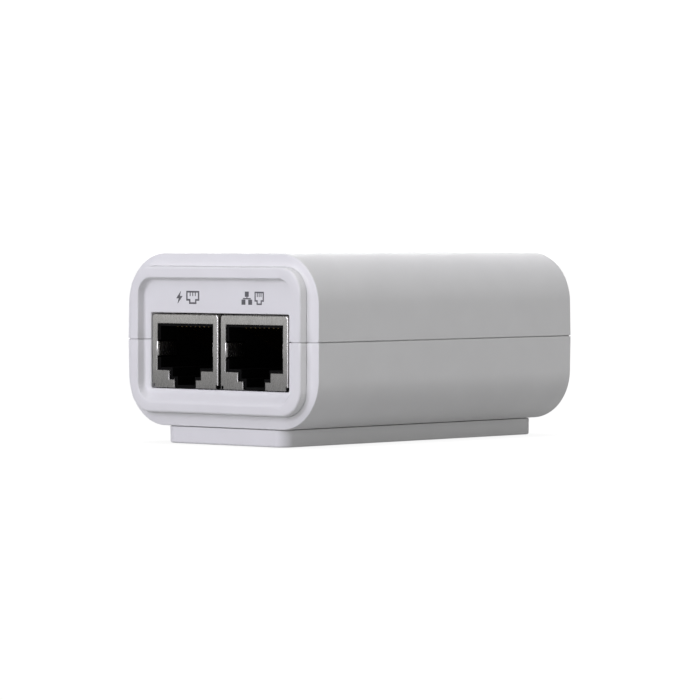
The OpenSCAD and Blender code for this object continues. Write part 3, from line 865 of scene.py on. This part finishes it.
def jack_shield(x0, name, node):
    """A folded sheet with its stepped plug opening, bends, legs and leaf springs."""
    half = JACK_HALF
    bend = 0.24
    notch = 0.6
    corner_r = 0.62
    sheet_t = 0.28
    leg_y = (7.4, 8.8)
    leaf_low = JACK_Z + 5.3
    leaf_high = JACK_Z + 7.6
    back = JACK_BACK - 0.02
    verts = []
    faces = []

    def add(points):
        first = len(verts)
        verts.extend(points)
        return list(range(first, len(verts)))

    rows = []
    for a in (0, 22.5, 45, 67.5, 90):
        e = bend * (1 - sin(radians(a)))
        y = JACK_FRONT + bend * (1 - cos(radians(a)))
        rows.append((arch(half - e, JACK_TOP - e, JACK_Z + notch, corner_r - e), y))
    lengths = [0.8, *leg_y, back - JACK_FRONT]
    side = arch(half, JACK_TOP, JACK_Z + notch, corner_r)
    rows += [(side, JACK_FRONT + d) for d in lengths]
    ids = [add([(x0 + x, y, z) for x, z in outline]) for outline, y in rows]
    for a, b in zip(ids, ids[1:]):
        faces += [(a[k], a[k + 1], b[k + 1], b[k]) for k in range(len(a) - 1)]
    # Lower edges of the sides behind the corner notches, with one leg each
    side_rows = ids[-len(lengths):]
    for s, end in ((-1, 0), (1, -1)):
        feet = add([(x0 + s * half, JACK_FRONT + d, JACK_Z) for d in lengths])
        leg = add([(x0 + s * half, JACK_FRONT + d, LEAD_END) for d in lengths[1:3]])
        for k in range(len(lengths) - 1):
            quad = (side_rows[k][end], side_rows[k + 1][end], feet[k + 1], feet[k])
            faces.append(quad if s < 0 else quad[::-1])
        quad = (feet[1], feet[2], leg[1], leg[0])
        faces.append(quad if s < 0 else quad[::-1])
        if s < 0:
            back_left = feet[-1]
        else:
            back_right = feet[-1]
    faces.append(tuple([back_left] + side_rows[-1] + [back_right]))
    # Front face with the stepped opening
    slot_half = 2.43
    key_half = 3.6
    plug_half = 6.35
    slot_top = JACK_Z + 1.39
    key_top = JACK_Z + 2.89
    plug_top = JACK_Z + 10.62
    opening = [
        (half - notch, JACK_Z + notch), (half - notch, JACK_Z), (slot_half, JACK_Z),
        (slot_half, slot_top), (key_half, slot_top), (key_half, key_top),
        (plug_half, key_top), (plug_half, plug_top),
    ]
    right = add([(x0 + x, JACK_FRONT, z) for x, z in opening])
    left = add([(x0 - x, JACK_FRONT, z) for x, z in reversed(opening)])
    faces.append(tuple(ids[0] + right + left)[::-1])
    # Leaf springs beside the opening
    for s in (-1, 1):
        strip = [(x0 + x, JACK_FRONT + y) for x, y in leaf_strip(s)]
        low = add([(x, y, leaf_low) for x, y in strip])
        high = add([(x, y, leaf_high) for x, y in strip])
        for k in range(len(strip) - 1):
            quad = (low[k], low[k + 1], high[k + 1], high[k])
            faces.append(quad if s < 0 else quad[::-1])
    mesh = new_mesh(name, verts, [tuple(f) for f in faces])
    bm = bmesh.new()
    bm.from_mesh(mesh)
    bmesh.ops.remove_doubles(bm, verts=bm.verts, dist=1e-4)
    for f in bm.faces:
        f.normal_update()
    bm.to_mesh(mesh)
    bm.free()
    sheet = bpy.data.objects.new("sheet", mesh)
    bpy.context.scene.collection.objects.link(sheet)
    thick = sheet.modifiers.new("thick", "SOLIDIFY")
    thick.thickness = sheet_t
    thick.offset = -1
    thick.use_even_offset = True
    graph = bpy.context.evaluated_depsgraph_get()
    solid = bpy.data.meshes.new_from_object(sheet.evaluated_get(graph))
    bpy.data.objects.remove(sheet)
    roll_edges(solid, 0.15)
    make_piece(name, solid, "adapter", "shield_nickel", [node], 35, 0.03)


def roll_edges(mesh, r):
    """Rounds the punched edges of the sheet's front face."""
    bm = bmesh.new()
    bm.from_mesh(mesh)
    bm.normal_update()
    edges = []
    for e in bm.edges:
        if len(e.link_faces) != 2:
            continue
        if any(abs(v.co.y - JACK_FRONT) > 1e-3 for v in e.verts):
            continue
        facing = sorted(abs(f.normal.y) for f in e.link_faces)
        if facing[0] < 0.05 and facing[1] > 0.98:
            edges.append(e)
    bmesh.ops.bevel(
        bm, geom=edges, offset=r, segments=3, profile=0.5, affect="EDGES", clamp_overlap=False
    )
    bm.to_mesh(mesh)
    bm.free()


# ---------------------------------------------------------------- rear end

def pin_places(bottom):
    """The two supply pins and the earth pin above them, as (x, z)."""
    return [(-5, bottom + 5.6), (5, bottom + 5.6), (0, bottom + 11.1)]


def inlet_lobes(low):
    """Prisms that together make the three-lobed cavity."""
    lobe_r = 3.7
    web_half = 2.6
    places = pin_places(low[2])
    (left, pin_low), (right, _), (_, pin_high) = places
    y0 = low[1] + 2
    y1 = 34
    out = [round_bar(p, lobe_r, y0, y1, "y", 56) for p in places]
    out.append(block([left, y0, pin_low - 2.7], [right, y1, pin_low + 2.3]))
    out.append(block([-web_half, y0, pin_low], [web_half, y1, pin_high]))
    return out


def mains_inlet():
    low, high = box_mm("mains_inlet")
    bottom = low[2]
    mid_z = bottom + INLET_H / 2
    width = 20
    flange_half = 10.8
    flange_h = 16.8
    edge = 0.5
    levels = [(low[1], 0.0)]
    levels += [
        (high[1] - edge + edge * sin(radians(a)), edge * (1 - cos(radians(a))))
        for a in (0, 30, 60, 90)
    ]
    loops = []
    for y, e in levels:
        outline = outline_rect(width - 2 * e, INLET_H - 2 * e, 1.3 - 0.6 * e)
        loops.append([(x, y, z) for x, z in moved(outline, 0, mid_z)])
    body = loft("inlet", loops)
    flange = block(
        [-flange_half, INNER_Y - 1.7, bottom], [flange_half, INNER_Y - 0.2, bottom + flange_h]
    )
    mesh = carve(body, [flange], "UNION")
    lobes = inlet_lobes(low)
    cavity = carve(lobes[0], lobes[1:], "UNION")
    mesh = carve(mesh, [cavity], "DIFFERENCE")
    holes = [round_bar(p, 1.2, low[1] - 1, low[1] + 3, "y", 24) for p in pin_places(bottom)]
    mesh = carve(mesh, holes, "DIFFERENCE")
    make_piece("mains_socket", mesh, "adapter", "inlet_black", ["mains_inlet"], 30, 0.2)


def light_pipe():
    low, high = box_mm("light_pipe")
    centre = ((low[0] + high[0]) / 2, (low[2] + high[2]) / 2)
    r = 1.5
    flange_r = 2.1
    flange_y = low[1] + 1.2
    dome = 0.5
    dome_y = high[1] - dome
    profile = [(0, low[1]), (flange_r, low[1]), (flange_r, flange_y), (r, flange_y)]
    profile += [
        (r * cos(radians(a)), dome_y + dome * sin(radians(a))) for a in range(0, 91, 15)
    ]
    mesh = lathe(profile, centre, "y", 36)
    make_piece("light_lens", mesh, "adapter", "lens_clear", ["light_pipe"], 40)


# ---------------------------------------------------------------- port symbols

def plate_mesh(outlines):
    """Flat printed shapes just in front of the panel."""
    verts = []
    faces = []
    sunk = 0.02
    proud = 0.02
    for outline in outlines:
        n = len(outline)
        first = len(verts)
        for y in (-PANEL_Y - proud, -PANEL_Y + sunk):
            verts += [(x, y, z) for x, z in outline]
        faces.append(tuple(range(first, first + n)))
        faces.append(tuple(range(first + n, first + 2 * n)))
        for i in range(n):
            j = (i + 1) % n
            faces.append((first + i, first + j, first + n + j, first + n + i))
    return tidy_mesh(new_mesh("print", verts, faces))


def bar(x0, z0, x1, z1):
    return [(x0, z0), (x1, z0), (x1, z1), (x0, z1)]


def socket_symbol(x, z, w, h, t):
    """A small port: a stepped outline of line width t with three contact marks."""
    step = w * 0.22
    drop = h * 0.25
    outline = [
        (x, z + drop), (x + step, z + drop), (x + step, z), (x + w - step, z),
        (x + w - step, z + drop), (x + w, z + drop), (x + w, z + h), (x, z + h),
    ]
    inner = [
        (x + t, z + drop + t), (x + step + t, z + drop + t), (x + step + t, z + t),
        (x + w - step - t, z + t), (x + w - step - t, z + drop + t),
        (x + w - t, z + drop + t), (x + w - t, z + h - t), (x + t, z + h - t),
    ]
    out = []
    n = len(outline)
    for i in range(n):
        j = (i + 1) % n
        out.append([outline[i], outline[j], inner[j], inner[i]])
    for k in (-1, 0, 1):
        c = x + w / 2 + k * w * 0.2
        out.append(bar(c - t / 3, z + h * 0.6, c + t / 3, z + h - t))
    return out


def port_symbols():
    """A bolt and a port over the left jack, a network tree and a port over the right one."""
    low = BASE_Z + 20.2
    high = BASE_Z + 22.35
    t = 0.28
    tall = high - low
    left = -9.7
    bolt = [
        (0.95, 1.0), (0.0, 0.42), (0.5, 0.42), (0.25, 0.0), (1.25, 0.6), (0.72, 0.6),
    ]
    bolt = [(left + 1.15 * u, low + tall * v) for u, v in bolt]
    power = [bolt] + socket_symbol(left + 2.3, low, 2.95, tall, t)
    left = 5.1
    unit = 0.85
    tree = [
        bar(left + 0.75, high - unit, left + 0.75 + unit, high),
        bar(left + 1.1, low + 1.05, left + 1.1 + 0.2, high - unit),
        bar(left + 0.3, low + unit + 0.05, left + 2.05, low + unit + 0.25),
        bar(left, low, left + unit, low + unit),
        bar(left + 1.5, low, left + 1.5 + unit, low + unit),
    ]
    lan = tree + socket_symbol(left + 2.9, low, 2.05, tall, 0.24)
    for name, shapes in (("power_port_symbol", power), ("network_port_symbol", lan)):
        make_piece(name, plate_mesh(shapes), "adapter", "print_grey")


# ---------------------------------------------------------------- carried-over nodes

def dress_cad_nodes():
    """Gives every CAD node that stays in view its slot's material."""
    slots = {row["node"]: row["material_slot"] for row in frame["record"]["subparts"]}
    for name, obj in frame["nodes"].items():
        if obj.hide_render:
            continue
        obj.data.materials.clear()
        obj.data.materials.append(material_for(slots[name]))
        for p in obj.data.polygons:
            p.material_index = 0


# ---------------------------------------------------------------- stage

AMBIENT = 0.04
FLOOR_GLOW = 0.17


def by_ray(nodes, links, unseen, seen):
    """One shader for what the camera sees and another for the light that reaches the object."""
    pick = nodes.new("ShaderNodeMixShader")
    path = nodes.new("ShaderNodeLightPath")
    links.new(path.outputs["Is Camera Ray"], pick.inputs["Fac"])
    links.new(unseen.outputs[0], pick.inputs[1])
    links.new(seen.outputs[0], pick.inputs[2])
    return pick.outputs[0]


def pale_floor():
    """A plain floor just under the bracket, with a soft shade where the object is close."""
    bpy.ops.mesh.primitive_plane_add(size=6, location=(0, 0, -0.05 * MM))
    floor = bpy.context.object
    floor.name = "floor"
    material = bpy.data.materials.new("floor")
    material.use_nodes = True
    nodes = material.node_tree.nodes
    links = material.node_tree.links
    nodes.clear()
    out = nodes.new("ShaderNodeOutputMaterial")
    contact = nodes.new("ShaderNodeAmbientOcclusion")
    contact.inputs["Distance"].default_value = 6 * MM
    level = nodes.new("ShaderNodeMapRange")
    level.inputs["To Min"].default_value = 0.9
    level.inputs["To Max"].default_value = 1.02
    glow = nodes.new("ShaderNodeEmission")
    dim = nodes.new("ShaderNodeBsdfDiffuse")
    dim.inputs["Color"].default_value = (0.25, 0.25, 0.25, 1)
    bounce = nodes.new("ShaderNodeEmission")
    bounce.inputs["Strength"].default_value = FLOOR_GLOW
    both = nodes.new("ShaderNodeAddShader")
    links.new(contact.outputs["AO"], level.inputs["Value"])
    links.new(level.outputs["Result"], glow.inputs["Strength"])
    links.new(dim.outputs[0], both.inputs[0])
    links.new(bounce.outputs[0], both.inputs[1])
    links.new(by_ray(nodes, links, both, glow), out.inputs["Surface"])
    floor.data.materials.append(material)


def white_surroundings():
    world = bpy.data.worlds.new("studio")
    bpy.context.scene.world = world
    world.use_nodes = True
    nodes = world.node_tree.nodes
    links = world.node_tree.links
    nodes.clear()
    out = nodes.new("ShaderNodeOutputWorld")
    ambient = nodes.new("ShaderNodeBackground")
    ambient.inputs["Color"].default_value = (1, 1, 1, 1)
    ambient.inputs["Strength"].default_value = AMBIENT
    white = nodes.new("ShaderNodeBackground")
    white.inputs["Color"].default_value = (1, 1, 1, 1)
    white.inputs["Strength"].default_value = 1.2
    links.new(by_ray(nodes, links, ambient, white), out.inputs["Surface"])
    bpy.context.scene.view_settings.view_transform = "Standard"


def softbox(name, direction, distance, size, strength, colour=(1, 1, 1)):
    """A square light that faces the object. strength is its radiance."""
    data = bpy.data.lights.new(name, "AREA")
    data.shape = "RECTANGLE"
    data.size = size[0]
    data.size_y = size[1]
    data.energy = strength * pi * size[0] * size[1]
    data.color = colour
    lamp = bpy.data.objects.new(name, data)
    bpy.context.scene.collection.objects.link(lamp)
    aim = Vector((0, 0, 0.017))
    back = Vector(direction).normalized()
    lamp.location = aim + back * distance
    lamp.rotation_euler = back.to_track_quat("Z", "Y").to_euler()
    lamp.visible_camera = False


def lights():
    cool = (0.97, 0.95, 1.06)
    softbox("key", (-0.085, -0.974, 0.208), 0.9, (0.5, 0.5), 5.3, cool)
    softbox("front_high", (-0.062, -0.704, 0.707), 0.9, (0.5, 0.5), 2.3, cool)
    softbox("side_high", (0.422, -0.015, 0.906), 0.9, (0.4, 0.4), 6.5)
    softbox("side", (1.0, 0.0, 0.176), 1.0, (0.25, 0.7), 3.2)
    softbox("fill", (-0.667, -0.715, 0.208), 1.0, (0.6, 0.42), 0.5)
    softbox("rear", (-0.5, 0.9, 0.35), 1.0, (0.8, 0.6), 3.2)


def camera():
    """The photograph's viewing angle."""
    target = Vector((-0.22, -0.4, 14.96)) * MM
    turn = radians(41.83)
    rise = radians(1.59)
    distance = 0.7165
    back = Vector((sin(turn) * cos(rise), -cos(turn) * cos(rise), sin(rise)))
    data = bpy.data.cameras.new("camera")
    data.lens = 217.6
    data.sensor_width = 36
    data.clip_start = 0.01
    data.clip_end = 20
    obj = bpy.data.objects.new("camera", data)
    bpy.context.scene.collection.objects.link(obj)
    obj.location = target + back * distance
    obj.rotation_euler = back.to_track_quat("Z", "Y").to_euler()
    bpy.context.scene.camera = obj


# ---------------------------------------------------------------- build

upper_shell()
lower_shell()
mount_bracket()
jack_shield(-JACK_X, "poe_shield", "poe_jack_shield")
jack_shield(JACK_X, "lan_shield", "lan_jack_shield")
mains_inlet()
light_pipe()
port_symbols()
dress_cad_nodes()
pale_floor()
white_surroundings()
lights()
camera()
